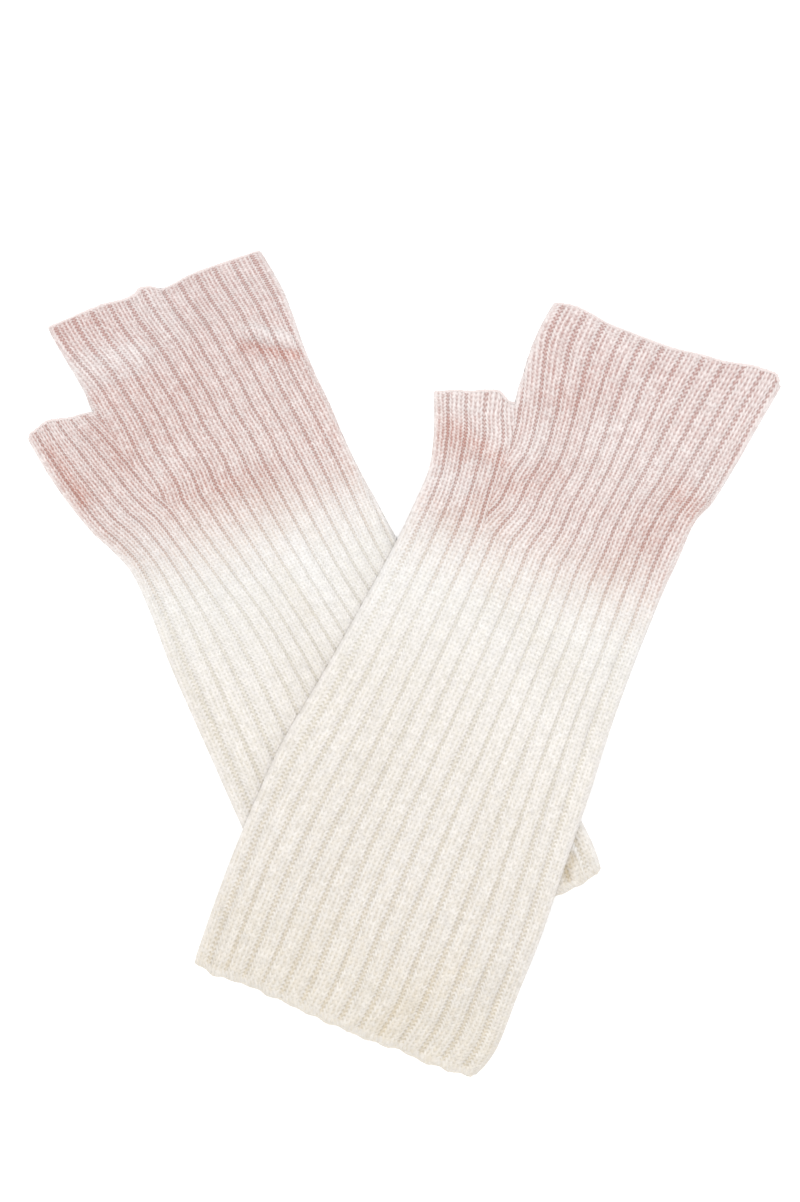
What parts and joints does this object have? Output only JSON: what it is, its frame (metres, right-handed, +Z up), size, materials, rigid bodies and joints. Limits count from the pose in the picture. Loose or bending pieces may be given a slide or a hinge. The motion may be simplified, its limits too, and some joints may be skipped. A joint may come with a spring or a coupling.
{
  "type": "pair of fingerless rib-knit arm warmers laid flat and crossed",
  "caption": "Pair of long fingerless rib-knit arm warmers with thumb gussets, dip-dyed pink to cream, laid flat, one crossed over the other.",
  "frame": {"origin": "bottom centre of the pair, on the surface that it lies on", "axes": "+Z up from the surface, +Y towards the fingers of the pair, +X to the right seen from above"},
  "size_m": [0.3004, 0.329, 0.0131],
  "materials": {
    "dip_dyed_rib_knit": "soft, matt, slightly fuzzy fine wool rib knit, pale dusty pink at the hand and warm cream at the forearm"
  },
  "bodies": {
    "root": {"lower_arm_warmer": "dip_dyed_rib_knit", "upper_arm_warmer": "dip_dyed_rib_knit"}
  },
  "joints": []
}
